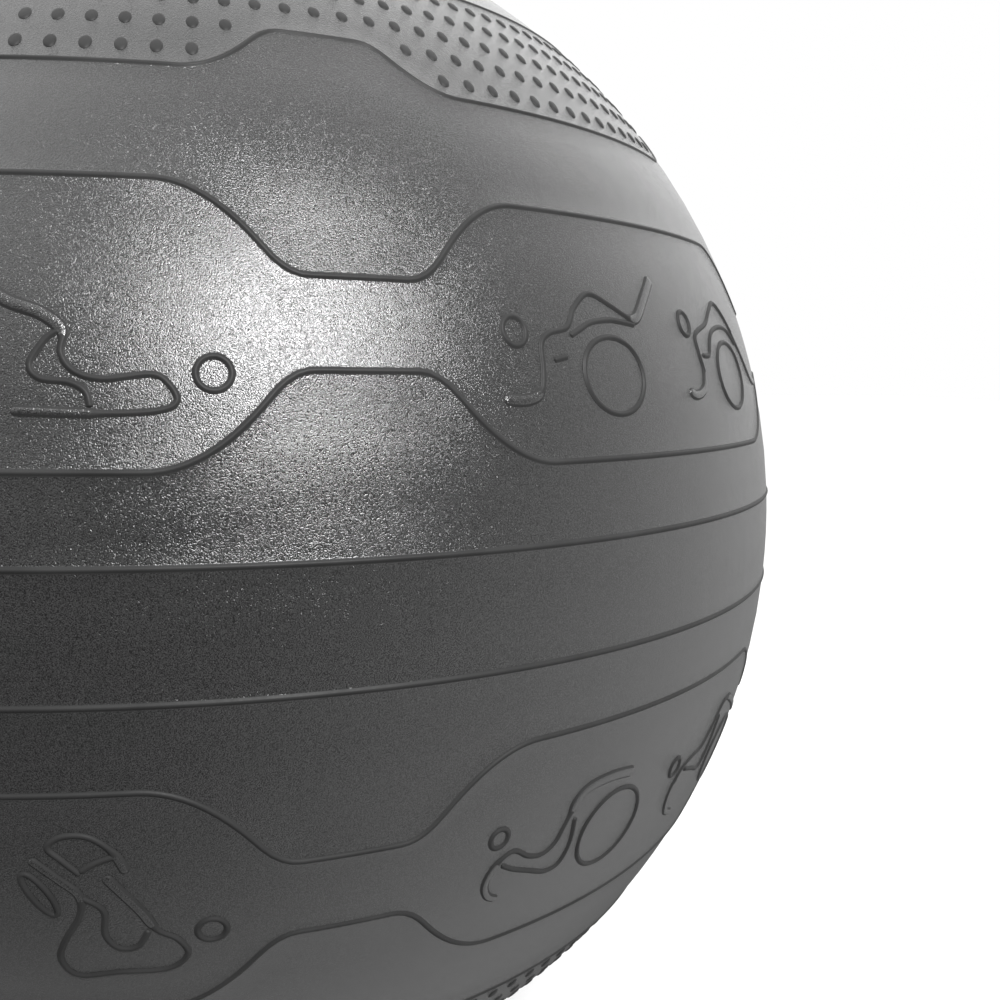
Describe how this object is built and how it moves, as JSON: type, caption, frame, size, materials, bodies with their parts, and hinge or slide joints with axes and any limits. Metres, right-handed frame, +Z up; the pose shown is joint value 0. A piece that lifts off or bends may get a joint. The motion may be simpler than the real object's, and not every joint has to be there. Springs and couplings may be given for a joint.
{
  "type": "exercise ball",
  "caption": "Inflated exercise ball with raised ribs, dotted grip bands and a plugged air valve, resting on a small flat contact patch.",
  "frame": {"origin": "centre of the flat contact patch that the ball rests on", "axes": "+Z up, through the ball's centre and the valve, which lie on the mould's axis; -Y faces the middle of one neck of the raised panels, and the necks are 56 and 64 degrees apart by turns"},
  "size_m": [0.6504, 0.6504, 0.6477],
  "materials": {
    "ball_skin": "satin grained PVC, moulded",
    "valve_seat": "soft satin PVC, moulded",
    "valve_plug": "light grey satin plastic, moulded"
  },
  "bodies": {
    "ball": {"ball_shell": "ball_skin", "valve_seat": "valve_seat"},
    "plug": {"valve_plug": "valve_plug"}
  },
  "joints": [
    {"name": "plug_pull", "type": "slide", "parent": "ball", "child": "plug", "axis": [0, 0, 1], "range_m": [0, 0.035]}
  ]
}
